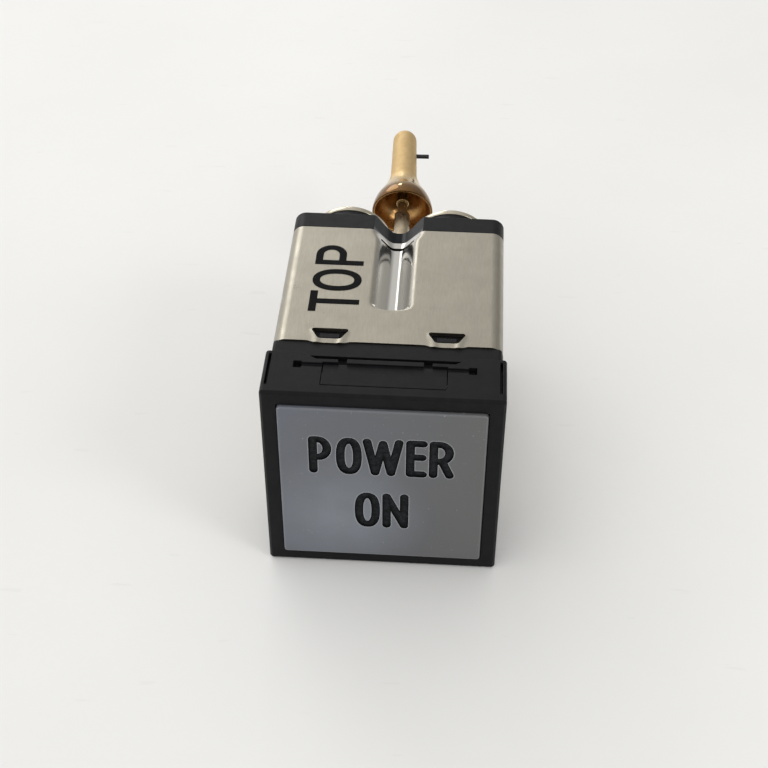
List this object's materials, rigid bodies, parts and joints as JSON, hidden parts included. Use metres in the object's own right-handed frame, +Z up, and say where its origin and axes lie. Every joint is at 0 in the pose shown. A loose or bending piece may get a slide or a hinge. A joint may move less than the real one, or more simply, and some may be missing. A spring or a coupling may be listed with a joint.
{
  "type": "illuminated pushbutton lamp capsule",
  "caption": "Square lamp capsule of a lighted push-button switch: legend lens, bezel, metal case, flanged lamps, and a hinged link with a bell-mouthed plunger at the back.",
  "frame": {"origin": "middle of the bezel's bottom face, on which the capsule stands", "axes": "+Z up; +Y along the capsule from the legend lens to the lamps and the plunger; +X to the right seen from the lens"},
  "size_m": [0.018, 0.0441, 0.018],
  "materials": {
    "black_plastic": "satin moulded black",
    "lens": "translucent grey, fine satin",
    "filter": "translucent pale sheet",
    "white_plastic": "matt white",
    "case_metal": "satin sheet",
    "brass": "spring brass",
    "steel": "turned",
    "dark_steel": "dark",
    "gilt": "gold coloured, satin outside and bright in the mouth",
    "lamp_shell": "plated",
    "lamp_glass": "clear",
    "solder": "solder dome on its insulator"
  },
  "bodies": {
    "capsule": {"bezel": "black_plastic", "legend_lens": "lens", "colour_filter": "filter", "diffuser_plate": "white_plastic", "front_housing": "black_plastic", "reflector": "white_plastic", "metal_case": "case_metal", "lamp_block": "black_plastic", "lamp_grip_plate": "brass", "rear_plate": "black_plastic", "link_bracket": "steel", "bracket_nut": "steel", "hinge_pin": "steel", "lamp_1_shell": "lamp_shell", "lamp_2_shell": "lamp_shell", "lamp_3_shell": "lamp_shell", "lamp_4_shell": "lamp_shell", "lamp_1_glass": "lamp_glass", "lamp_2_glass": "lamp_glass", "lamp_3_glass": "lamp_glass", "lamp_4_glass": "lamp_glass", "lamp_1_contact": "solder", "lamp_2_contact": "solder", "lamp_3_contact": "solder", "lamp_4_contact": "solder"},
    "link": {"link_rod": "steel", "rod_ring": "gilt"},
    "plunger_slide": {"plunger": "gilt", "cross_pin": "dark_steel"}
  },
  "joints": [
    {"name": "link_hinge", "type": "hinge", "parent": "capsule", "child": "link", "pos_m": [0, 0.02193, 0.009], "axis": [1, 0, 0], "range_deg": [-55, 35]},
    {"name": "plunger_travel", "type": "slide", "parent": "link", "child": "plunger_slide", "axis": [-0.0275, 0.9844, 0.1736], "range_m": [-0.0016, 0]}
  ]
}
